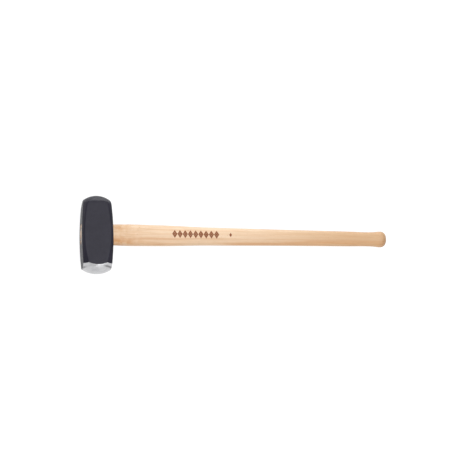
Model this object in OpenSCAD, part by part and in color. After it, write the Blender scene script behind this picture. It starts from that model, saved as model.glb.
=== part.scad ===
// Short-handled sledgehammer, lying on one cheek of its head.
// The handle runs along +X from the head to the knob. The head runs along Y,
// with its as-forged painted pole at +Y and its turned striking face at -Y.
// The origin is the middle of the lower cheek, which rests on Z = 0.

/* [Head] */
// Distance from the middle of the eye to the top of the forged pole
pole_len = 88; // [86:0.1:92]
// Distance from the middle of the eye to the middle of the striking face
face_len = 89; // [86:0.1:93]
// Width of the head across its eye sides, where it is widest
head_w = 70.2; // [68:0.2:73]
// Thickness of the head between its two flat cheeks
head_t = 70; // [67:1:72]
// Width of the head across its corner flats, where it is widest
corner_w = 92.6; // [91:0.2:94]
// Slope of the corner flats, from the plane of the cheek
corner_angle = 41; // [39:1:45]
// Radius of the long barrel curve of the eye sides
side_barrel_r = 800; // [700:10:1000]
// Radius of the corner flats' barrel curve, towards the pole
corner_pole_r = 530; // [440:10:560]
// Radius of the corner flats' barrel curve, towards the striking face
corner_face_r = 350; // [330:5:450]
// How far the widest place lies from the eye, towards the striking face
barrel_shift = 7; // [2:1:12]

/* [Forged pole] */
// Radius of the pole's dome
dome_r = 49; // [47:0.5:54]
// Distance from the eye to the bevel on each cheek
cheek_bevel_y = 68.2; // [64:0.2:72]
// Slope of that bevel, from the plane of the cheek
cheek_bevel_angle = 32; // [25:1:40]

/* [Striking face] */
// Radius of the face's crown
crown_r = 60; // [56:1:80]
// Radius of the face inside its turned bevel
face_r = 33; // [31:0.5:34.5]
// Slope of the turned bevel, from the plane of the face
face_bevel_angle = 40; // [34:1:44]

/* [Eye and wedges] */
// Length of the eye, along the head
eye_len = 48; // [47:0.2:50]
// Width of the eye
eye_w = 30; // [27:0.5:31]
// Clearance between the eye's wall and the tenon in it
eye_clear = 0.1; // [0.05:0.05:0.2]
// How far the tenon's end lies inside the widest line of the eye side
tenon_inset = 0.8; // [0:0.1:2]
// Thickness of the wooden wedge at its outer end
wood_wedge_t = 7; // [5:0.5:9]
// Depth of the wooden wedge in the tenon
wood_wedge_depth = 48; // [40:1:54]
// Thickness of each steel wedge at its outer end
steel_wedge_t = 3.6; // [2.5:0.1:4.5]
// Width of each steel wedge
steel_wedge_w = 21; // [16:0.5:23]
// Depth of each steel wedge
steel_wedge_depth = 30; // [24:1:34]
// Distance between the two steel wedges
steel_wedge_gap = 24; // [20:1:28]

/* [Handle] */
// Overall length of the hammer, from the eye side of the head to the knob
overall_len = 692.5; // [660:0.5:740]
// Width of the handle where it leaves the head
shoulder_w = 46.6; // [45:0.2:46.8]
// Width of the handle at its waist, before the knob
waist_w = 32; // [30:0.1:33.5]
// Width of the knob
knob_w = 35.6; // [34:0.2:38]

/* [Hidden] */

head_len = pole_len + face_len;
// Height of the handle's axis over the plane that the head rests on
axis_z = head_t / 2;
// How far a bounding outline runs past the solid that it cuts
beyond = 30;
// Where the tenon's outer end and the knob's end lie along X
tenon_x = tenon_inset - head_w / 2;
knob_end_x = overall_len - head_w / 2;
// Thickness of every wedge at its inner tip
wedge_tip_t = 1.2;
// How far the steel wedges stand out of the tenon's end
wedge_proud = 0.3;

// The handle's sections: distance from the eye, width along Y, width along Z,
// and how square the oval is (2 is an ellipse).
HANDLE = [
  [20, shoulder_w - 0.2, 28.8, 2.7],
  [head_w / 2, shoulder_w, 29.5, 2.7],
  [52, shoulder_w + 0.8, 31.2, 2.6],
  [76, shoulder_w + 1.6, 32.8, 2.5],
  [100, shoulder_w + 1.2, 33.2, 2.4],
  [145, shoulder_w + 0.4, 32.6, 2.3],
  [190, shoulder_w - 2.2, 31.4, 2.3],
  [236, shoulder_w - 5.4, 30.4, 2.3],
  [290, shoulder_w - 6.8, 29.6, 2.3],
  [400, shoulder_w - 9.8, 28.4, 2.3],
  [510, shoulder_w - 12.0, 27.4, 2.3],
  [570, waist_w + 1.6, 26.8, 2.2],
  [knob_end_x - 50, waist_w, 26.4, 2.2],
  [knob_end_x - 30, waist_w + 0.8, 27.2, 2.2],
  [knob_end_x - 17, knob_w - 0.2, 29.2, 2.2],
  [knob_end_x - 13, knob_w, 29.6, 2.2]
];
// Length of the knob's round cap, and how many rings it has
cap_len = 13;
cap_rings = 7;
// Greatest distance between the shank's rings, and how many points a ring has
ring_step = 14;
ring_sides = 36;

// Value of column c at x, on a smooth curve through the HANDLE rows
function row_of(x, i = 0) = i >= len(HANDLE) - 2 || x < HANDLE[i + 1][0] ? i : row_of(x, i + 1);
function slope_at(i, c) =
  i == 0 || i == len(HANDLE) - 1 ? 0
  : (HANDLE[i + 1][c] - HANDLE[i - 1][c]) / (HANDLE[i + 1][0] - HANDLE[i - 1][0]);
function hermite(t, a, b, ma, mb) =
  (2 * t ^ 3 - 3 * t ^ 2 + 1) * a + (t ^ 3 - 2 * t ^ 2 + t) * ma
  + (3 * t ^ 2 - 2 * t ^ 3) * b + (t ^ 3 - t ^ 2) * mb;
function section_value(x, c) =
  let (i = row_of(x), span = HANDLE[i + 1][0] - HANDLE[i][0], t = (x - HANDLE[i][0]) / span)
  hermite(t, HANDLE[i][c], HANDLE[i + 1][c], span * slope_at(i, c), span * slope_at(i + 1, c));

// One ring of the handle: a squared oval across X
function oval(v, n) = sign(v) * pow(abs(v), 2 / n);
function ring(x, w, t, n) =
  [for (k = [0:ring_sides - 1]) let (a = 360 * k / ring_sides)
    [x, w / 2 * oval(cos(a), n), t / 2 * oval(sin(a), n)]];

last_row = HANDLE[len(HANDLE) - 1];
shank_count = ceil((last_row[0] - HANDLE[0][0]) / ring_step);
shank_rings = [for (k = [0:shank_count])
  let (x = HANDLE[0][0] + (last_row[0] - HANDLE[0][0]) * k / shank_count)
  ring(x, section_value(x, 1), section_value(x, 2), section_value(x, 3))];
knob_rings = [for (k = [1:cap_rings - 1]) let (a = 90 * k / cap_rings)
  ring(last_row[0] + cap_len * sin(a), last_row[1] * pow(cos(a), 0.8),
    last_row[2] * pow(cos(a), 0.8), last_row[3])];
all_rings = concat(shank_rings, knob_rings);
ring_count = len(all_rings);

handle_points = concat([for (r = all_rings) for (p = r) p], [[knob_end_x, 0, 0]]);
handle_sides = [for (r = [0:ring_count - 2]) for (k = [0:ring_sides - 1])
  let (a = r * ring_sides + k, b = r * ring_sides + (k + 1) % ring_sides)
  [a, a + ring_sides, b + ring_sides, b]];
handle_start = [for (k = [0:ring_sides - 1]) k];
handle_tip = [for (k = [0:ring_sides - 1])
  let (base = (ring_count - 1) * ring_sides)
  [base + k, ring_count * ring_sides, base + (k + 1) % ring_sides]];

// A long outline whose two sides are arcs that bulge outwards, and its part to
// one end (+1 is the pole, -1 the striking face) of the widest place
module barrel_half(width, radius, end) {
  intersection() {
    translate([width / 2 - radius, 0]) circle(radius, $fn = 1440);
    translate([radius - width / 2, 0]) circle(radius, $fn = 1440);
    translate([-width, end > 0 ? 0 : -head_len]) square([2 * width, head_len]);
  }
}

module barrel_outline(width, pole_r, face_r) {
  translate([0, -barrel_shift]) {
    barrel_half(width, pole_r, 1);
    barrel_half(width, face_r, -1);
  }
}

// The cheeks, with a straight bevel at the forged pole
module cheek_outline() {
  rise = pole_len + beyond - cheek_bevel_y;
  inset = rise * tan(cheek_bevel_angle);
  low = -face_len - beyond;
  polygon([
    [-axis_z, low], [axis_z, low],
    [axis_z, cheek_bevel_y], [axis_z - inset, cheek_bevel_y + rise],
    [inset - axis_z, cheek_bevel_y + rise], [-axis_z, cheek_bevel_y]
  ]);
}

// Half outline of the round envelope of both ends, along the head
module end_envelope() {
  wide = corner_w;
  dome_y = pole_len - dome_r;
  crown_y = crown_r - face_len;
  face_y = crown_y - sqrt(crown_r ^ 2 - face_r ^ 2);
  bevel_top = face_y + (wide - face_r) * tan(face_bevel_angle);
  bevel_tip = face_y - face_r * tan(face_bevel_angle);
  intersection() {
    union() {
      translate([0, -head_len]) square([wide, head_len + dome_y + 16]);
      translate([0, dome_y]) circle(dome_r, $fn = 360);
    }
    union() {
      translate([0, -head_len / 3]) square([wide, head_len]);
      translate([0, crown_y]) circle(crown_r, $fn = 360);
    }
    polygon([[0, bevel_tip], [wide, bevel_top], [wide, head_len], [0, head_len]]);
  }
}

// Outline of the eye, a slot with round ends: X is its width, Y its length
module eye_outline(inset) {
  r = eye_w / 2 - inset;
  reach = (eye_len - eye_w) / 2;
  square([2 * r, 2 * reach], center = true);
  for (s = [-1, 1]) translate([0, s * reach]) circle(r, $fn = 96);
}

// Extrudes an outline along X, with its Y kept and its X turned to the thickness
module along_x(from, to) {
  translate([from, 0, 0]) rotate([0, 90, 0]) linear_extrude(to - from) children();
}

// A wedge with its thick end outwards, at the tenon's end. Its taper is drawn in
// X and Y, and its width runs along Z.
module wedge_body(depth, thick, width, proud) {
  tip = tenon_x + depth;
  out = tenon_x - proud;
  linear_extrude(width, center = true)
    polygon([
      [out, -thick / 2], [tip, -wedge_tip_t / 2],
      [tip, wedge_tip_t / 2], [out, thick / 2]
    ]);
}

module wood_wedge_body() {
  rotate([90, 0, 0]) wedge_body(wood_wedge_depth, wood_wedge_t, eye_len + beyond, 0);
}

module steel_wedge_body(side) {
  translate([0, side * steel_wedge_gap / 2, 0])
    wedge_body(steel_wedge_depth, steel_wedge_t, steel_wedge_w, wedge_proud);
}

module steel_wedge_bodies() {
  for (side = [-1, 1]) steel_wedge_body(side);
}

module head() {
  color("#45434e") translate([0, 0, axis_z]) difference() {
    intersection() {
      linear_extrude(2 * head_t, center = true)
        barrel_outline(head_w, side_barrel_r, side_barrel_r);
      for (side = [-1, 1])
        rotate([0, side * (90 - corner_angle), 0])
          linear_extrude(2 * head_t, center = true)
            barrel_outline(corner_w, corner_pole_r, corner_face_r);
      along_x(-head_w, head_w) cheek_outline();
      rotate([-90, 0, 0]) rotate_extrude($fn = 360) intersection() {
        end_envelope();
        translate([0, -head_len]) square([corner_w, 2 * head_len]);
      }
    }
    along_x(-head_w, head_w) eye_outline(0);
  }
}

module handle() {
  color("#ddb48a") translate([0, 0, axis_z]) difference() {
    union() {
      along_x(tenon_x, head_w / 2 - 2) eye_outline(eye_clear);
      polyhedron(handle_points, concat([handle_start], handle_sides, handle_tip), 6);
    }
    wood_wedge_body();
    steel_wedge_bodies();
  }
}

module wood_wedge() {
  color("#c99a63") translate([0, 0, axis_z]) difference() {
    intersection() {
      wood_wedge_body();
      along_x(tenon_x, head_w) eye_outline(eye_clear);
    }
    steel_wedge_bodies();
  }
}

module steel_wedge_pole_side() {
  color("#a7a7ab") translate([0, 0, axis_z]) steel_wedge_body(1);
}

module steel_wedge_face_side() {
  color("#a7a7ab") translate([0, 0, axis_z]) steel_wedge_body(-1);
}

head();
handle();
wood_wedge();
steel_wedge_pole_side();
steel_wedge_face_side();
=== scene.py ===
"""A short-handled sledgehammer: forged octagonal head, wooden handle and the wedges that hold it.

Everything is in metres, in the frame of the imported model: +X runs along the handle, +Y along the
head to its painted pole, and the head's lower cheek rests on Z = 0.
"""

import math

import bmesh
import bpy
import numpy as np
from mathutils import Matrix, Vector


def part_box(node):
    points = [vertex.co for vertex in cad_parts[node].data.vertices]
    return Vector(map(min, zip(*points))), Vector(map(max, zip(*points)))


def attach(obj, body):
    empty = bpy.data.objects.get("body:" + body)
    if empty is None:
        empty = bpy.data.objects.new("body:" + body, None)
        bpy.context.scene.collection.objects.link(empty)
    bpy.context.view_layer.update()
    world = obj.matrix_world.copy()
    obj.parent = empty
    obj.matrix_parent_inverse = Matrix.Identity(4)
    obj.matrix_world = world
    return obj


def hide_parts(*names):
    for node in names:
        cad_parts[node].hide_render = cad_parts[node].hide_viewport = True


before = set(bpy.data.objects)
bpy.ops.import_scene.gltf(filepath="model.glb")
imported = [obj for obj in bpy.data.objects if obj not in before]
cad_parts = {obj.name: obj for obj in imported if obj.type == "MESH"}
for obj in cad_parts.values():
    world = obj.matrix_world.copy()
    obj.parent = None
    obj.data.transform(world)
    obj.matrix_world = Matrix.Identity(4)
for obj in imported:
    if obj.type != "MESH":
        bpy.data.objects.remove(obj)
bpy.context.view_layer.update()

MM = 0.001
HEAD_LOW, HEAD_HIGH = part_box("head")
HANDLE_LOW, HANDLE_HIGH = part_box("handle")
AXIS_Z = (HEAD_LOW.z + HEAD_HIGH.z) / 2
KNOB_X = HANDLE_HIGH.x
TENON_X = HANDLE_LOW.x

# The head's own shape, as the CAD part has it
CHEEK = (HEAD_HIGH.z - HEAD_LOW.z) / 2
POLE_Y = HEAD_HIGH.y
FACE_Y = HEAD_LOW.y
SIDE = HEAD_HIGH.x
SIDE_R = 800 * MM
CORNER = 46.3 * MM
CORNER_SLOPE = math.radians(41)
CORNER_POLE_R = 530 * MM
CORNER_FACE_R = 350 * MM
WIDEST_Y = -7 * MM
DOME_R = 49 * MM
CHEEK_BEVEL_Y = 68.2 * MM
CHEEK_BEVEL = math.radians(32)
CROWN_R = 60 * MM
FACE_R = 33 * MM
FACE_BEVEL = math.radians(40)
EYE_LEN = 48 * MM
EYE_W = 30 * MM
EYE_CLEAR = 0.1 * MM

# Edge radii that forging and turning leave
FORGED_EDGE = 1.3 * MM
TURNED_EDGE = 1.2 * MM
BORDER_EDGE = 0.35 * MM

# Heights along the head beyond which its dome and its crown can be reached
DOME_REACH_Y = POLE_Y - 37 * MM
CROWN_REACH_Y = -50 * MM

DOME_Y = POLE_Y - DOME_R
CROWN_Y = FACE_Y + CROWN_R
FACE_RIM_Y = CROWN_Y - math.sqrt(CROWN_R**2 - FACE_R**2)


# ---------------------------------------------------------------- small helpers


def smoothstep(low, high, x):
    t = np.clip((x - low) / (high - low), 0, 1)
    return t * t * (3 - 2 * t)


def waves(points, wavelength, seed):
    """Smooth noise from -1 to 1 as a sum of plane waves, the same on every run."""
    rng = np.random.default_rng(seed)
    total = np.zeros(len(points))
    count = 9
    for _ in range(count):
        direction = rng.normal(size=3)
        direction /= np.linalg.norm(direction)
        length = wavelength * rng.uniform(0.7, 1.6)
        phase = rng.uniform(0, 2 * math.pi)
        total += np.sin(points @ direction * 2 * math.pi / length + phase)
    return total / count


def eased(count, ease):
    """count + 1 values from 0 to 1, closer together near both ends as ease nears 1."""
    t = np.linspace(0, 1, count + 1)
    return (1 - ease) * t + ease * (1 - np.cos(math.pi * t)) / 2


def grid_mesh(name, points, first=None, last=None):
    """A mesh from points[row, column], closed across the columns, with a point at each end."""
    rows, columns = points.shape[:2]
    verts = points.reshape(-1, 3).tolist()
    faces = []
    for r in range(rows - 1):
        for c in range(columns):
            d = (c + 1) % columns
            a, b = r * columns, (r + 1) * columns
            faces.append((a + c, b + c, b + d, a + d))
    for tip, row, flip in ((first, 0, False), (last, rows - 1, True)):
        if tip is None:
            continue
        verts.append(list(tip))
        k = len(verts) - 1
        for c in range(columns):
            d = (c + 1) % columns
            a = row * columns
            faces.append((k, a + d, a + c) if flip else (k, a + c, a + d))
    mesh = bpy.data.meshes.new(name)
    mesh.from_pydata(verts, [], faces)
    mesh.validate()
    mesh.update()
    return mesh


def add_object(name, mesh):
    obj = bpy.data.objects.new(name, mesh)
    bpy.context.scene.collection.objects.link(obj)
    return obj


def outward(mesh):
    bm = bmesh.new()
    bm.from_mesh(mesh)
    bmesh.ops.recalc_face_normals(bm, faces=bm.faces)
    bm.to_mesh(mesh)
    bm.free()


def apply_modifiers(obj):
    dg = bpy.context.evaluated_depsgraph_get()
    mesh = bpy.data.meshes.new_from_object(obj.evaluated_get(dg))
    old = obj.data
    obj.modifiers.clear()
    obj.data = mesh
    bpy.data.meshes.remove(old)


def cut(obj, cutter, operation="DIFFERENCE"):
    """Takes cutter out of obj, or keeps what they share, and removes the cutter."""
    m = obj.modifiers.new("cut", "BOOLEAN")
    m.operation = operation
    m.solver = "EXACT"
    m.object = cutter
    apply_modifiers(obj)
    mesh = cutter.data
    bpy.data.objects.remove(cutter)
    bpy.data.meshes.remove(mesh)


def soft_shading(obj, angle):
    for p in obj.data.polygons:
        p.use_smooth = True
    obj.data.set_sharp_from_angle(angle=math.radians(angle))


def along_x(outline_rows):
    """Stacks outlines, each (x, [(y, z), ...]) round the handle's axis, as points[row, column]."""
    return np.array([[(x, y, z + AXIS_Z) for y, z in ring] for x, ring in outline_rows])


def slot_outline(length, width, steps):
    """A slot with round ends, long in Y, as (y, z) points."""
    radius = width / 2
    reach = length / 2 - radius
    points = []
    for side in (1, -1):
        for k in range(steps + 1):
            a = math.pi * (k / steps - 0.5)
            points.append((side * (reach + radius * math.cos(a)), side * radius * math.sin(a)))
    return points


# ---------------------------------------------------------------- head


def side_half(y):
    return SIDE - SIDE_R + np.sqrt(SIDE_R**2 - (y - WIDEST_Y) ** 2)


def corner_half(y):
    radius = np.where(y > WIDEST_Y, CORNER_POLE_R, CORNER_FACE_R)
    return CORNER - radius + np.sqrt(radius**2 - (y - WIDEST_Y) ** 2)


def rounded(distances, radius):
    """The distance to a body inside all of these surfaces, with its edges rounded."""
    over = np.maximum(distances + radius, 0)
    return np.where(
        over.max(0) > 0, np.sqrt((over**2).sum(0)) - radius, distances.max(0)
    )


def head_distance(p):
    """How far points p (from the middle of the eye) lie outside the head."""
    x, y, z = np.abs(p[:, 0]), p[:, 1], np.abs(p[:, 2])
    r = np.hypot(x, z)
    along = y - WIDEST_Y
    corner_r = np.where(along > 0, CORNER_POLE_R, CORNER_FACE_R)
    diagonal = x * math.sin(CORNER_SLOPE) + z * math.cos(CORNER_SLOPE)
    cheek = z - CHEEK
    side = np.hypot(x + SIDE_R - SIDE, along) - SIDE_R
    corner = np.hypot(diagonal + corner_r - CORNER, along) - corner_r
    dome = np.where(y > DOME_REACH_Y, np.hypot(r, y - DOME_Y) - DOME_R, -1)
    bevel = (z - CHEEK + (y - CHEEK_BEVEL_Y) * math.tan(CHEEK_BEVEL)) * math.cos(CHEEK_BEVEL)
    forged = rounded(np.array([cheek, side, corner, dome, bevel]), FORGED_EDGE)
    crown = np.where(y < CROWN_REACH_Y, np.hypot(r, y - CROWN_Y) - CROWN_R, -1)
    rim = (FACE_RIM_Y - y + (r - FACE_R) * math.tan(FACE_BEVEL)) * math.cos(FACE_BEVEL)
    turned = rounded(np.array([crown, rim]), TURNED_EDGE)
    return rounded(np.array([forged, turned]), BORDER_EDGE)


HEART_LOW_Y, HEART_HIGH_Y = -45 * MM, 40 * MM
HALVINGS = 34


def onto_head(p):
    """Moves points near the head onto its rounded surface, towards its long axis, by halving."""
    heart = np.stack([0 * p[:, 0], np.clip(p[:, 1], HEART_LOW_Y, HEART_HIGH_Y), 0 * p[:, 0]], 1)
    low, high = np.full(len(p), 0.5), np.full(len(p), 1.1)
    for _ in range(HALVINGS):
        middle = (low + high) / 2
        outside = head_distance(heart + (p - heart) * middle[:, None]) > 0
        high = np.where(outside, middle, high)
        low = np.where(outside, low, middle)
    return heart + (p - heart) * ((low + high) / 2)[:, None]


def octagon(y, steps):
    """The head's sharp outline at height y, as points round the axis, the same count at any y.
    steps are the pieces that half an eye side, a corner flat and half a cheek are cut into."""
    h, m = side_half(y), corner_half(y)
    a = np.array([h, 0.0])
    b = np.array([h, (m - h * math.sin(CORNER_SLOPE)) / math.cos(CORNER_SLOPE)])
    c = np.array([(m - CHEEK * math.cos(CORNER_SLOPE)) / math.sin(CORNER_SLOPE), CHEEK])
    d = np.array([0.0, CHEEK])
    quarter = []
    for start, end, count in ((a, b, steps[0]), (b, c, steps[1]), (c, d, steps[2])):
        both = eased(2 * count, 0.9)[count:] * 2 - 1
        t = both if start is a else (1 - both[::-1] if end is d else eased(count, 0.9))
        quarter += [start + (end - start) * k for k in t[:-1]]
    quarter = np.array(quarter)
    upper = np.vstack([quarter, np.vstack([[d], quarter[:0:-1]]) * [-1, 1]])
    return np.vstack([upper, np.vstack([[[-h, 0.0]], upper[:0:-1]]) * [1, -1]])


def turned_y(r):
    cone = FACE_RIM_Y + (r - FACE_R) * math.tan(FACE_BEVEL)
    crown = CROWN_Y - np.sqrt(CROWN_R**2 - np.minimum(r, FACE_R) ** 2)
    return np.where(r > FACE_R, cone, crown)


def pole_y(x, z):
    dome = DOME_Y + np.sqrt(np.maximum(DOME_R**2 - x**2 - z**2, 0))
    bevel = CHEEK_BEVEL_Y + (CHEEK - np.abs(z)) / math.tan(CHEEK_BEVEL)
    return np.minimum(dome, bevel), dome - bevel


HEAD_STEPS = (12, 12, 20)
CROWN_ROWS = 26
RIM_ROWS = 12
BODY_ROWS = 110
BEVEL_ROWS = 14
DOME_STEPS = np.concatenate([[0.01, 0.03, 0.06], np.linspace(0.1, 0.96, 26)])


def head_points():
    """Rows of points from the striking face to the pole, and the row where the paint starts."""
    columns = len(octagon(0, HEAD_STEPS))

    def at_height(y):
        rings = [octagon(float(v), HEAD_STEPS)[k] for k, v in enumerate(y)]
        return np.array(rings)

    # Where each of the octagon's lines meets the turned face and the pole, closer each time
    low = np.full(columns, -75 * MM)
    high = np.full(columns, 68 * MM)
    for _ in range(6):
        q = at_height(low)
        low = turned_y(np.hypot(q[:, 0], q[:, 1]))
        q = at_height(high)
        high = pole_y(q[:, 0], q[:, 1])[0]

    rows = []
    start = at_height(low)
    reach = np.hypot(start[:, 0], start[:, 1])
    for t in np.linspace(0.04, 1, CROWN_ROWS):
        xz = start * (t * FACE_R / reach)[:, None]
        rows.append(np.stack([xz[:, 0], turned_y(np.hypot(*xz.T)), xz[:, 1]], 1))
    for t in eased(RIM_ROWS, 0.9)[1:-1]:
        xz = start * ((FACE_R + (reach - FACE_R) * t) / reach)[:, None]
        rows.append(np.stack([xz[:, 0], turned_y(np.hypot(*xz.T)), xz[:, 1]], 1))
    paint_row = len(rows)
    for t in eased(BODY_ROWS, 0.6):
        y = low + (high - low) * t
        q = at_height(y)
        rows.append(np.stack([q[:, 0], y, q[:, 1]], 1))
    # The crease between the cheek's bevel and the dome, as a share of the way from the axis
    end = at_height(high)
    crease = np.ones(columns)
    for t in np.linspace(1, 0.5, 400):
        xz = end * t
        crease = np.where(pole_y(xz[:, 0], xz[:, 1])[1] > 0, t, crease)
    crease = np.minimum(crease, 0.96)
    for t in eased(BEVEL_ROWS, 0.9)[1:]:
        xz = end * (1 + (crease - 1) * t)[:, None]
        rows.append(np.stack([xz[:, 0], pole_y(xz[:, 0], xz[:, 1])[0], xz[:, 1]], 1))
    for t in DOME_STEPS:
        xz = end * (crease * (1 - t))[:, None]
        rows.append(np.stack([xz[:, 0], pole_y(xz[:, 0], xz[:, 1])[0], xz[:, 1]], 1))
    return np.array(rows), paint_row


def forged_skin(p):
    """The slight unevenness of a drop forging, in metres, fading out on the turned face."""
    amount = smoothstep(FACE_Y + 6 * MM, FACE_Y + 18 * MM, p[:, 1])
    broad = waves(p, 34 * MM, 3) * 0.10 * MM
    fine = waves(p, 9 * MM, 4) * 0.035 * MM
    return (broad + fine - 0.1 * MM) * amount


def eye_cutter():
    """The eye's own space: a slot through the head with a small flare at each mouth."""
    steps = 40
    flare = 0.9 * MM
    outline = slot_outline(EYE_LEN, EYE_W, steps)
    wide = slot_outline(EYE_LEN + 2 * flare, EYE_W + 2 * flare, steps)
    past = slot_outline(EYE_LEN + 6 * flare, EYE_W + 6 * flare, steps)

    def mouth(ring, depth, sign):
        return [(sign * (side_half(y) - depth), y, z + AXIS_Z) for y, z in ring]

    rows = [
        mouth(past, -2 * flare, -1), mouth(wide, 0, -1), mouth(outline, 1.1 * flare, -1),
        mouth(outline, 1.1 * flare, 1), mouth(wide, 0, 1), mouth(past, -2 * flare, 1),
    ]
    points = np.array(rows)
    mesh = grid_mesh("eye", points, points[0].mean(0), points[-1].mean(0))
    outward(mesh)
    return add_object("eye", mesh)


def make_head():
    """The forging: rounded and slightly uneven, bright on the turned face, with its eye cut out."""
    points, paint_row = head_points()
    rows, columns = points.shape[:2]
    flat = onto_head(points.reshape(-1, 3))
    lean = flat / np.linalg.norm(flat, axis=1)[:, None]
    flat = flat + lean * forged_skin(flat)[:, None]
    flat[:, 1] = np.clip(flat[:, 1], FACE_Y, POLE_Y)
    flat[:, 2] = np.clip(flat[:, 2], -CHEEK, CHEEK)
    flat[:, 2] += AXIS_Z
    mesh = grid_mesh(
        "head_forging", flat.reshape(rows, columns, 3), (0, FACE_Y, AXIS_Z), (0, POLE_Y, AXIS_Z)
    )
    mesh.materials.append(head_paint())
    mesh.materials.append(face_steel())
    # The quads of each row come first, then the fan at the face's middle, then the pole's
    bright = np.zeros(len(mesh.polygons), np.int32)
    bright[: paint_row * columns] = 1
    bright[(rows - 1) * columns : rows * columns] = 1
    mesh.polygons.foreach_set("material_index", bright)
    outward(mesh)
    head = add_object("head_forging", mesh)
    cutter = eye_cutter()
    cutter.data.materials.append(head_paint())
    cut(head, cutter)
    soft_shading(head, 26)
    return head


# ---------------------------------------------------------------- handle

# The handle's sections: distance from the eye, width along Y, width along Z, and squareness
SHANK = (
    (35.1, 46.6, 29.5, 2.7), (52, 47.4, 31.2, 2.6), (76, 48.2, 32.8, 2.5), (100, 47.8, 33.2, 2.4),
    (145, 47.0, 32.6, 2.3), (190, 44.4, 31.4, 2.3), (236, 41.2, 30.4, 2.3), (290, 39.8, 29.6, 2.3),
    (400, 36.8, 28.4, 2.3), (510, 34.6, 27.4, 2.3), (570, 33.6, 26.8, 2.2),
)
WAIST = (32.0, 26.4)
KNOB = (35.6, 29.6)
CAP_LEN = 13 * MM


def shank_rows():
    """The named sections in metres, with the waist and the knob placed from the knob's end."""
    rows = [tuple(v * MM for v in row[:3]) + (row[3],) for row in SHANK]
    ends = ((50, *WAIST), (30, WAIST[0] + 0.8, 27.2), (17, KNOB[0] - 0.2, 29.2), (13, *KNOB))
    return rows + [(KNOB_X - back * MM, w * MM, t * MM, 2.2) for back, w, t in ends]


def smooth_through(rows, x):
    """Values of the rows' columns at each x, on a smooth curve through them."""
    rows = np.array(rows)
    knots, values = rows[:, 0], rows[:, 1:]
    slopes = np.zeros_like(values)
    slopes[1:-1] = (values[2:] - values[:-2]) / (knots[2:] - knots[:-2])[:, None]
    i = np.clip(np.searchsorted(knots, x) - 1, 0, len(knots) - 2)
    span = (knots[i + 1] - knots[i])[:, None]
    t = np.clip((x - knots[i])[:, None] / span, 0, 1)
    return (
        (2 * t**3 - 3 * t**2 + 1) * values[i] + (t**3 - 2 * t**2 + t) * span * slopes[i]
        + (3 * t**2 - 2 * t**3) * values[i + 1] + (t**3 - t**2) * span * slopes[i + 1]
    )


HANDLE_SIDES = 120


def oval_reach(angle, width, thick, square):
    """Distance from the axis to a squared oval, in each direction."""
    c, s = np.abs(np.cos(angle)), np.abs(np.sin(angle))
    return ((c / (width / 2)) ** square + (s / (thick / 2)) ** square) ** (-1 / square)


def slot_reach(angle, length, width):
    """Distance from the axis to a slot with round ends, in each direction."""
    c, s = np.abs(np.cos(angle)), np.abs(np.sin(angle))
    radius = width / 2
    centre = length / 2 - radius
    flat = radius / np.maximum(s, 1e-9)
    round_end = centre * c + np.sqrt(np.maximum(radius**2 - (centre * s) ** 2, 0))
    return np.where(flat * c < centre, flat, round_end)


def handle_points():
    """Rows of points from the tenon's end to the knob, where the slot turns into the oval."""
    t = np.linspace(0, 2 * math.pi, HANDLE_SIDES, endpoint=False)
    angle = np.arctan2(np.sin(t) * 0.72, np.cos(t))
    tenon = slot_reach(angle, EYE_LEN - 2 * EYE_CLEAR, EYE_W - 2 * EYE_CLEAR)
    rows = []

    def ring(x, reach):
        rows.append([(x, r * math.cos(a), r * math.sin(a) + AXIS_Z) for r, a in zip(reach, angle)])

    corner = 0.8 * MM
    for share in (0.3, 0.6, 0.85):
        ring(TENON_X, (tenon - corner) * share)
    for k in range(5):
        a = math.pi / 2 * k / 4
        ring(TENON_X + corner * (1 - math.cos(a)), tenon - corner * (1 - math.sin(a)))
    for x in np.linspace(TENON_X + 3 * MM, 27 * MM, 12):
        ring(x, tenon)
    shank_end = KNOB_X - CAP_LEN
    named = shank_rows()
    for x in np.concatenate([np.linspace(29, 60, 20) * MM, np.linspace(64 * MM, shank_end, 150)]):
        width, thick, square = smooth_through(named, np.array([max(x, named[0][0])]))[0]
        oval = oval_reach(angle, width, thick, square)
        share = smoothstep(28 * MM, 46 * MM, x)
        ring(x, tenon * (1 - share) + oval * share)
    last = oval_reach(angle, *(v * MM for v in KNOB), 2.2)
    for k in range(1, 22):
        a = math.pi / 2 * k / 22
        ring(shank_end + CAP_LEN * math.sin(a), last * math.cos(a) ** 0.8)
    return np.array(rows)


def wedge_prism(name, depth, thick, tip, width, middle, across, proud, gap=0.0):
    """A wedge in the eye end. Its thickness spans Z if across is 'z', otherwise Y."""
    x0, x1 = TENON_X - proud, TENON_X + depth
    corners = []
    for x, half in ((x0, thick / 2 + gap), (x1, tip / 2 + gap)):
        for s, w in ((-1, -1), (1, -1), (1, 1), (-1, 1)):
            a, b = s * half, w * (width / 2 + gap)
            y, z = (b, a) if across == "z" else (a, b)
            corners.append((x, y + middle, z + AXIS_Z))
    faces = [(0, 1, 2, 3), (4, 7, 6, 5)]
    faces += [(k, 4 + k, 4 + (k + 1) % 4, (k + 1) % 4) for k in range(4)]
    mesh = bpy.data.meshes.new(name)
    mesh.from_pydata(corners, [], faces)
    mesh.update()
    outward(mesh)
    return add_object(name, mesh)


WOOD_WEDGE = dict(depth=48 * MM, thick=7 * MM, tip=1.2 * MM, width=80 * MM, middle=0, across="z")
STEEL_WEDGE = dict(depth=30 * MM, thick=3.6 * MM, tip=1.2 * MM, width=21 * MM, across="y")
STEEL_WEDGE_OFF = 12 * MM
WEDGE_PROUD = 0.3 * MM
HAIRLINE = 0.06 * MM
UPSET_DEPTH = 0.5 * MM
UPSET_SPREAD = 0.07
DENT = 0.12 * MM


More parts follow.
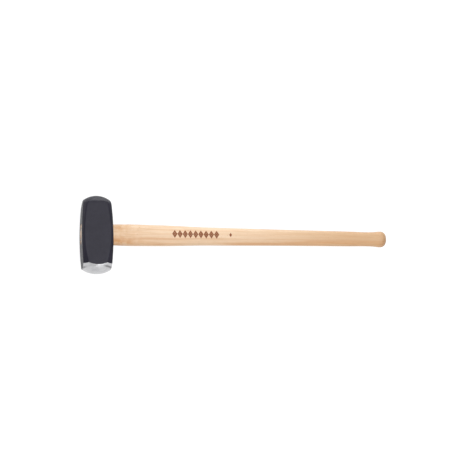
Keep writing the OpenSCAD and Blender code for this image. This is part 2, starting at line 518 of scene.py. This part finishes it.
def cut_wedge_pockets(obj):
    """Cuts the two steel wedges' pockets, a hairline wider than the wedges, out of obj."""
    for side in (-1, 1):
        pocket = wedge_prism(
            "pocket", middle=side * STEEL_WEDGE_OFF, proud=2 * MM, gap=HAIRLINE, **STEEL_WEDGE
        )
        cut(obj, pocket)


def make_handle():
    """The shank with its tenon, saw kerf and pockets."""
    points = handle_points()
    mesh = grid_mesh("handle_shank", points, (TENON_X, 0, AXIS_Z), (KNOB_X, 0, AXIS_Z))
    outward(mesh)
    mesh.materials.append(handle_wood())
    handle = add_object("handle_shank", mesh)
    cut(handle, wedge_prism("kerf", proud=2 * MM, gap=HAIRLINE, **WOOD_WEDGE))
    cut_wedge_pockets(handle)
    soft_shading(handle, 35)
    return handle


def make_wood_wedge():
    """The wooden wedge, trimmed to the tenon's outline and sawn off just inside its end."""
    wedge = wedge_prism("wooden_wedge", proud=-0.4 * MM, **WOOD_WEDGE)
    outline = slot_outline(EYE_LEN - 2 * EYE_CLEAR, EYE_W - 2 * EYE_CLEAR, 40)
    reach = 60 * MM
    rows = along_x([(-reach, outline), (reach, outline)])
    limit = grid_mesh("limit", rows, (-reach, 0, AXIS_Z), (reach, 0, AXIS_Z))
    outward(limit)
    cut(wedge, add_object("limit", limit), "INTERSECT")
    cut_wedge_pockets(wedge)
    wedge.data.materials.clear()
    wedge.data.materials.append(wedge_wood())
    soft_shading(wedge, 30)
    return wedge


def make_steel_wedge(name, side):
    """A steel wedge whose struck end is upset a little."""
    wedge = wedge_prism(name, middle=side * STEEL_WEDGE_OFF, proud=WEDGE_PROUD, **STEEL_WEDGE)
    bevel = wedge.modifiers.new("edge", "BEVEL")
    bevel.width = 0.25 * MM
    bevel.segments = 2
    apply_modifiers(wedge)
    bm = bmesh.new()
    bm.from_mesh(wedge.data)
    bmesh.ops.subdivide_edges(bm, edges=bm.edges[:], cuts=5, use_grid_fill=True)
    for v in bm.verts:
        upset = max(0.0, 1 - (v.co.x - (TENON_X - WEDGE_PROUD)) / UPSET_DEPTH)
        v.co.y += (v.co.y - side * STEEL_WEDGE_OFF) * UPSET_SPREAD * upset
        dent = DENT * math.sin(v.co.z * 900 + side) * math.cos(v.co.y * 1700)
        v.co.x += upset * (0.14 * MM + dent)
    bm.to_mesh(wedge.data)
    bm.free()
    wedge.data.materials.clear()
    wedge.data.materials.append(wedge_steel())
    soft_shading(wedge, 35)
    return wedge


# ---------------------------------------------------------------- materials


class Nodes:
    """A material's node tree, with short calls for the nodes used here."""

    def __init__(self, name):
        self.material = bpy.data.materials.new(name)
        self.material.use_nodes = True
        self.tree = self.material.node_tree
        self.shader = self.tree.nodes["Principled BSDF"]
        self.place = self.new("ShaderNodeTexCoord").outputs["Object"]

    def new(self, kind, **settings):
        node = self.tree.nodes.new(kind)
        for key, value in settings.items():
            setattr(node, key, value)
        return node

    def put(self, value, socket):
        """Links value to the socket if it is an output, and sets it otherwise."""
        if isinstance(value, bpy.types.NodeSocket):
            self.tree.links.new(value, socket)
        else:
            socket.default_value = value

    def math(self, operation, *values, clamp=False):
        node = self.new("ShaderNodeMath", operation=operation, use_clamp=clamp)
        for k, v in enumerate(values):
            self.put(v, node.inputs[k])
        return node.outputs[0]

    def stretched(self, scale):
        """The object's own coordinates, times a scale for each axis."""
        node = self.new("ShaderNodeVectorMath", operation="MULTIPLY")
        self.put(self.place, node.inputs[0])
        node.inputs[1].default_value = scale
        return node.outputs[0]

    def noise(self, scale, detail=3.0, rough=0.55, place=None):
        node = self.new("ShaderNodeTexNoise")
        self.put(place or self.place, node.inputs["Vector"])
        node.inputs["Scale"].default_value = scale
        node.inputs["Detail"].default_value = detail
        node.inputs["Roughness"].default_value = rough
        return node.outputs["Fac"]

    def ramp(self, value, *stops):
        """Maps value through (position, colour or grey) stops."""
        node = self.new("ShaderNodeValToRGB")
        self.put(value, node.inputs[0])
        elements = node.color_ramp.elements
        while len(elements) < len(stops):
            elements.new(0.5)
        for element, (position, colour) in zip(elements, stops):
            element.position = position
            rgb = (colour,) * 3 if isinstance(colour, (int, float)) else colour
            element.color = (*rgb, 1)
        return node.outputs["Color"]

    def mix(self, share, a, b, blend="MIX"):
        node = self.new("ShaderNodeMix", data_type="RGBA", blend_type=blend)
        self.put(share, node.inputs["Factor"])
        for value, socket in ((a, node.inputs["A"]), (b, node.inputs["B"])):
            self.put((*value, 1) if isinstance(value, tuple) else value, socket)
        return node.outputs["Result"]

    def range(self, value, low, high, to_low=0.0, to_high=1.0, smooth=False):
        node = self.new("ShaderNodeMapRange", clamp=True)
        if smooth:
            node.interpolation_type = "SMOOTHSTEP"
        for k, v in enumerate((value, low, high, to_low, to_high)):
            self.put(v, node.inputs[k])
        return node.outputs[0]

    def bump(self, height, depth, normal=None):
        node = self.new("ShaderNodeBump")
        node.inputs["Strength"].default_value = 1.0
        node.inputs["Distance"].default_value = depth
        self.put(height, node.inputs["Height"])
        if normal is not None:
            self.put(normal, node.inputs["Normal"])
        return node.outputs["Normal"]

    def axes(self):
        node = self.new("ShaderNodeSeparateXYZ")
        self.put(self.place, node.inputs[0])
        return node.outputs["X"], node.outputs["Y"], node.outputs["Z"]

    def finish(self, colour, roughness, normal=None, **constants):
        self.put(colour, self.shader.inputs["Base Color"])
        self.put(roughness, self.shader.inputs["Roughness"])
        if normal is not None:
            self.put(normal, self.shader.inputs["Normal"])
        for name, value in constants.items():
            self.shader.inputs[name.replace("_", " ")].default_value = value
        return self.material


made = {}


def once(build):
    """Makes each material only once."""

    def get():
        if build.__name__ not in made:
            made[build.__name__] = build(Nodes(build.__name__))
        return made[build.__name__]

    return get


@once
def head_paint(n):
    """Satin blue-black paint over a forged skin."""
    cloud = n.noise(38, 4, 0.6)
    orange_peel = n.noise(900, 2, 0.5)
    scale = n.noise(210, 5, 0.62)
    dust = n.noise(2600, 2, 0.5)
    colour = n.ramp(cloud, (0.3, (0.0092, 0.0084, 0.0168)), (0.7, (0.0130, 0.0119, 0.0220)))
    speck = n.range(dust, 0.70, 0.78)
    colour = n.mix(n.math("MULTIPLY", speck, 0.35), colour, (0.09, 0.088, 0.1))
    rough = n.range(scale, 0.3, 0.7, 0.40, 0.52)
    normal = n.bump(scale, 0.00016)
    normal = n.bump(orange_peel, 0.00003, normal)
    return n.finish(colour, rough, normal, Specular_IOR_Level=0.24)


@once
def face_steel(n):
    """The striking face: steel turned in rings and lightly ground, darker in a broken band round
    its rim.
    """
    x, _, z = n.axes()
    up = n.math("SUBTRACT", z, AXIS_Z)
    squared = n.math("ADD", n.math("MULTIPLY", x, x), n.math("MULTIPLY", up, up))
    radius = n.math("SQRT", squared)
    rings = n.new("ShaderNodeTexNoise", noise_dimensions="1D")
    n.put(radius, rings.inputs["W"])
    rings.inputs["Scale"].default_value = 3600
    rings.inputs["Detail"].default_value = 3
    ring = rings.outputs["Fac"]
    broad = n.noise(55, 4, 0.6)
    scratch = n.noise(1, 3, 0.6, n.stretched((2600, 2600, 120)))
    colour = n.ramp(broad, (0.3, (0.43, 0.43, 0.445)), (0.7, (0.55, 0.55, 0.56)))
    # A darker band, broken up by noise, round the rim where the crown meets its bevel
    off_rim = n.math("ABSOLUTE", n.math("SUBTRACT", radius, FACE_R - 0.2 * MM))
    band = n.range(off_rim, 0.6 * MM, 3.2 * MM, 1, 0, smooth=True)
    rim = n.math("MULTIPLY", band, n.range(n.noise(34, 2, 0.4), 0.42, 0.55, 0.2, 1))
    colour = n.mix(n.math("MULTIPLY", rim, 0.8), colour, (0.15, 0.145, 0.15))
    rough = n.range(n.math("ADD", broad, ring), 0.6, 1.4, 0.24, 0.40)
    normal = n.bump(ring, 0.00003)
    normal = n.bump(scratch, 0.000012, normal)
    return n.finish(colour, rough, normal, Metallic=1.0)


def wood_grain(n):
    """Growth layers of a straight-grained hardwood round a far pith, with its fibres and pores."""
    x, y, z = n.axes()
    sway = n.math("SUBTRACT", n.noise(1.0, 2, 0.5, n.stretched((3.2, 9, 9))), 0.5)
    lean = n.math("SUBTRACT", n.noise(1.0, 2, 0.5, n.stretched((2.6, 7, 11))), 0.5)
    across = n.math("ADD", n.math("ADD", y, 0.038), n.math("MULTIPLY", sway, 0.016))
    deep = n.math("ADD", n.math("SUBTRACT", z, AXIS_Z - 0.085), n.math("MULTIPLY", lean, 0.02))
    squared = n.math("ADD", n.math("MULTIPLY", across, across), n.math("MULTIPLY", deep, deep))
    radius = n.math("SQRT", squared)
    uneven = n.math("MULTIPLY", n.noise(1.0, 2, 0.5, n.stretched((1.5, 120, 120))), 1.1)
    layer = n.math("FRACT", n.math("ADD", n.math("MULTIPLY", radius, 1 / 0.0027), uneven))
    late = n.ramp(layer, (0.0, 0.0), (0.25, 0.12), (0.72, 0.55), (0.93, 1.0), (1.0, 0.1))
    fibre = n.noise(1.0, 4, 0.6, n.stretched((26, 900, 900)))
    streak = n.noise(1.0, 3, 0.55, n.stretched((5, 160, 160)))
    pore = n.noise(1.0, 2, 0.5, n.stretched((70, 2300, 2300)))
    return late, fibre, streak, pore


def burnt_ornament(n, x, y, z):
    """A chain of plain lozenges and a small one, burnt into the upper side. Gives its strength."""
    start, pitch, count = 168 * MM, 11.8 * MM, 9
    half_length, half_width = 5.9 * MM, 9.2 * MM
    u = n.math("DIVIDE", n.math("SUBTRACT", x, start), pitch)
    along = n.math("ABSOLUTE", n.math("SUBTRACT", n.math("FRACT", u), 0.5))
    side = n.math("ABSOLUTE", n.math("SUBTRACT", y, 0.6 * MM))
    lengthwise = n.math("MULTIPLY", along, pitch / half_length)
    size = n.math("ADD", lengthwise, n.math("DIVIDE", side, half_width))
    body = n.range(size, 0.94, 1.06, 1, 0)
    gap = n.range(n.math("ABSOLUTE", n.math("SUBTRACT", size, 0.42)), 0.03, 0.08, 0.4, 0)
    lozenge = n.math("SUBTRACT", body, gap, clamp=True)
    within = n.math("MULTIPLY", n.math("GREATER_THAN", u, 0), n.math("LESS_THAN", u, count))
    chain = n.math("MULTIPLY", lozenge, within)
    end = n.math("ABSOLUTE", n.math("SUBTRACT", x, 300 * MM))
    stud = n.math("ADD", n.math("DIVIDE", end, 3.4 * MM), n.math("DIVIDE", side, 5.4 * MM))
    mark = n.math("MAXIMUM", chain, n.range(stud, 0.8, 1.0, 1, 0))
    uneven = n.range(n.noise(500, 3, 0.6), 0.30, 0.5, 0.8, 1.0)
    return n.math("MULTIPLY", n.math("MULTIPLY", mark, uneven), n.math("GREATER_THAN", z, AXIS_Z))


@once
def handle_wood(n):
    """Pale hardwood, sanded and thinly waxed, stained near the head, with a burnt ornament."""
    late, fibre, streak, pore = wood_grain(n)
    x, y, z = n.axes()
    colour = n.mix(n.range(late, 0, 1, 0.08, 0.55), (0.645, 0.498, 0.348), (0.54, 0.36, 0.225))
    colour = n.mix(n.range(streak, 0.42, 0.72, 0, 0.6), colour, (0.53, 0.30, 0.155))
    colour = n.mix(n.range(fibre, 0.40, 0.75, 0, 0.35), colour, (0.84, 0.63, 0.47))
    swayed = n.math("ADD", y, n.math("MULTIPLY", streak, 0.012))
    darker_side = n.range(swayed, 4 * MM, -6 * MM, 0, 0.34)
    colour = n.mix(darker_side, colour, (0.48, 0.285, 0.155))
    pores = n.math("MULTIPLY", n.range(pore, 0.60, 0.68), n.range(late, 0.0, 0.35, 1, 0.25))
    colour = n.mix(n.math("MULTIPLY", pores, 0.5), colour, (0.32, 0.17, 0.09))
    far = n.range(x, 250 * MM, 620 * MM, 0, 0.65, smooth=True)
    colour = n.mix(far, colour, (0.43, 0.238, 0.102))
    streaks = n.range(streak, 0.47, 0.60)
    streaked_side = n.math("MULTIPLY", streaks, n.range(y, -2 * MM, -13 * MM, 0, 0.6))
    colour = n.mix(streaked_side, colour, (0.47, 0.245, 0.105))
    knob_end = n.range(x, KNOB_X - 20 * MM, KNOB_X - 2 * MM, 0, 0.6)
    knob_end = n.math("MULTIPLY", knob_end, n.range(y, 8 * MM, -12 * MM, 0.15, 1))
    colour = n.mix(knob_end, colour, (0.33, 0.17, 0.08))
    patch = n.range(n.noise(70, 4, 0.65), 0.38, 0.62)
    end_grain = n.range(x, TENON_X + 0.5 * MM, TENON_X + 1.5 * MM, 0.6, 0)
    colour = n.mix(end_grain, colour, (0.86, 0.68, 0.54))
    stain = n.math("MULTIPLY", n.range(x, 36 * MM, 130 * MM, 0.95, 0, smooth=True), patch)
    stain = n.math("MULTIPLY", stain, n.range(n.math("ABSOLUTE", y), 6 * MM, 20 * MM, 0.4, 1))
    colour = n.mix(stain, colour, (0.47, 0.225, 0.078))
    speck = n.range(n.noise(330, 2, 0.5), 0.70, 0.745)
    speck = n.math("MULTIPLY", speck, n.range(x, 100 * MM, 600 * MM, 0.8, 0.3))
    colour = n.mix(speck, colour, (0.27, 0.13, 0.07))
    burnt = burnt_ornament(n, x, y, z)
    colour = n.mix(n.math("MULTIPLY", burnt, 0.96), colour, (0.165, 0.036, 0.005))
    height = n.math("SUBTRACT", n.math("MULTIPLY", fibre, 0.5), pores)
    height = n.math("SUBTRACT", height, n.math("MULTIPLY", burnt, 2.5))
    rough = n.range(fibre, 0.3, 0.7, 0.42, 0.56)
    rough = n.math("MAXIMUM", rough, n.math("MULTIPLY", burnt, 0.85))
    normal = n.bump(height, 0.00006)
    return n.finish(colour, rough, normal, Specular_IOR_Level=0.34)


@once
def wedge_wood(n):
    """A darker hardwood wedge, sawn off and struck."""
    late, _, streak, _ = wood_grain(n)
    colour = n.mix(n.range(late, 0, 1, 0.2, 0.8), (0.62, 0.44, 0.28), (0.50, 0.32, 0.18))
    colour = n.mix(n.range(n.noise(1400, 3), 0.4, 0.7, 0, 0.4), colour, (0.36, 0.22, 0.12))
    normal = n.bump(n.noise(1100, 4), 0.00012)
    return n.finish(colour, n.range(streak, 0, 1, 0.6, 0.8), normal)


@once
def wedge_steel(n):
    """Plain steel with hammer marks and a brown bloom."""
    bloom = n.noise(420, 4, 0.6)
    colour = n.ramp(bloom, (0.35, (0.40, 0.39, 0.385)), (0.62, (0.30, 0.255, 0.22)))
    normal = n.bump(n.noise(900, 4), 0.00008)
    return n.finish(colour, n.range(bloom, 0.3, 0.7, 0.32, 0.5), normal, Metallic=1.0)


@once
def floor_white(n):
    """A lit white table: it glows enough that shadows on it stay faint."""
    n.shader.inputs["Emission Color"].default_value = (1, 1, 1, 1)
    soft = n.noise(3, 3, 0.5)
    colour = n.ramp(soft, (0.0, 0.17), (1.0, 0.18))
    return n.finish(colour, 0.9, None, Specular_IOR_Level=0.0, Emission_Strength=0.90)


# ---------------------------------------------------------------- the hammer

head = make_head()
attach(head, "root")
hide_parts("head")

handle = make_handle()
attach(handle, "root")
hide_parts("handle")

wood_wedge = make_wood_wedge()
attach(wood_wedge, "root")
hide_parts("wood_wedge")

for wedge_node, wedge_side in (("steel_wedge_pole_side", 1), ("steel_wedge_face_side", -1)):
    steel_wedge = make_steel_wedge(wedge_node.replace("steel_wedge", "cross_wedge"), wedge_side)
    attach(steel_wedge, "root")
    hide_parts(wedge_node)


# ---------------------------------------------------------------- stage, light, camera


FLOOR_REACH = 40.0
FLOOR_GAP = 0.3 * MM


def make_floor():
    size = FLOOR_REACH
    mesh = bpy.data.meshes.new("floor")
    corners = [(-size, -size, 0), (size, -size, 0), (size, size, 0), (-size, size, 0)]
    mesh.from_pydata(corners, [], [(0, 1, 2, 3)])
    mesh.materials.append(floor_white())
    floor = add_object("floor", mesh)
    floor.location.z = -FLOOR_GAP


def soft_light(name, place, aim, size, watts):
    lamp = bpy.data.lights.new(name, "AREA")
    lamp.shape = "RECTANGLE"
    lamp.size, lamp.size_y = size
    lamp.energy = watts
    obj = bpy.data.objects.new(name, lamp)
    obj.location = place
    obj.rotation_euler = (Vector(aim) - Vector(place)).to_track_quat("-Z", "Y").to_euler()
    bpy.context.scene.collection.objects.link(obj)


YAW, PITCH, ROLL = (math.radians(v) for v in (9.0, 15.4, 1.4))
CAMERA_DISTANCE = 6.0
PIXELS_PER_METRE = 446.0
FRAME_PIXELS = 458
VIEW_X = 298.5 * MM
VIEW_RISE = 7.9 / PIXELS_PER_METRE


def make_camera():
    """A long lens above the upper cheek, a little towards the eye end and the striking face."""
    data = bpy.data.cameras.new("camera")
    data.sensor_width = 36.0
    data.lens = PIXELS_PER_METRE * CAMERA_DISTANCE * data.sensor_width / FRAME_PIXELS
    data.clip_end = 50
    back = Vector(
        (-math.sin(YAW) * math.cos(PITCH), -math.sin(PITCH), math.cos(YAW) * math.cos(PITCH))
    )
    right = Vector((math.cos(YAW), 0, math.sin(YAW)))
    up = back.cross(right)
    turned_right = right * math.cos(ROLL) - up * math.sin(ROLL)
    turned_up = up * math.cos(ROLL) + right * math.sin(ROLL)
    middle = Vector((VIEW_X, 0, AXIS_Z)) + turned_up * VIEW_RISE
    camera = bpy.data.objects.new("camera", data)
    axes = Matrix((turned_right, turned_up, back)).transposed()
    camera.matrix_world = Matrix.Translation(middle + back * CAMERA_DISTANCE) @ axes.to_4x4()
    bpy.context.scene.collection.objects.link(camera)
    bpy.context.scene.camera = camera


# How pale the room is at each height, from the horizon at 0 to straight overhead at 1
ROOM_GREYS = ((0.04, 0.95), (0.08, 0.02), (0.11, 0.02), (0.95, 0.6))


def make_world():
    """A room with a pale skirting round the floor's horizon, dark walls and a bright ceiling."""
    world = bpy.data.worlds.new("studio")
    world.use_nodes = True
    tree = world.node_tree
    direction = tree.nodes.new("ShaderNodeTexCoord")
    parts = tree.nodes.new("ShaderNodeSeparateXYZ")
    tree.links.new(direction.outputs["Generated"], parts.inputs[0])
    ramp = tree.nodes.new("ShaderNodeValToRGB")
    elements = ramp.color_ramp.elements
    while len(elements) < len(ROOM_GREYS):
        elements.new(0.5)
    for element, (height, grey) in zip(elements, ROOM_GREYS):
        element.position = height
        element.color = (grey, grey, grey, 1)
    tree.links.new(parts.outputs["Z"], ramp.inputs[0])
    background = tree.nodes["Background"]
    tree.links.new(ramp.outputs[0], background.inputs["Color"])
    background.inputs["Strength"].default_value = 1.0
    bpy.context.scene.world = world


make_floor()
make_world()
# Soft panels: name, place, the point that it faces, width and height, and power in watts
PANELS = (
    ("overhead", (0.3, -0.75, 2.2), (0.3, 0, 0), (1.8, 1.0), 32),
    ("ceiling", (0.36, 0.64, 2.35), (0.1, 0, 0), (1.6, 1.6), 20),
    ("left", (-1.5, 0.75, 0.42), (0, 0, 0), (0.9, 0.7), 5),
    ("far_side", (0.35, 1.8, 0.42), (0, 0, 0), (1.3, 0.8), 23),
    ("near_side", (0.6, -1.9, 0.5), (0.2, 0, 0), (1.2, 0.7), 11),
)
for panel in PANELS:
    soft_light(*panel)
make_camera()

view = bpy.context.scene.view_settings
view.view_transform = "Standard"
view.look = "None"
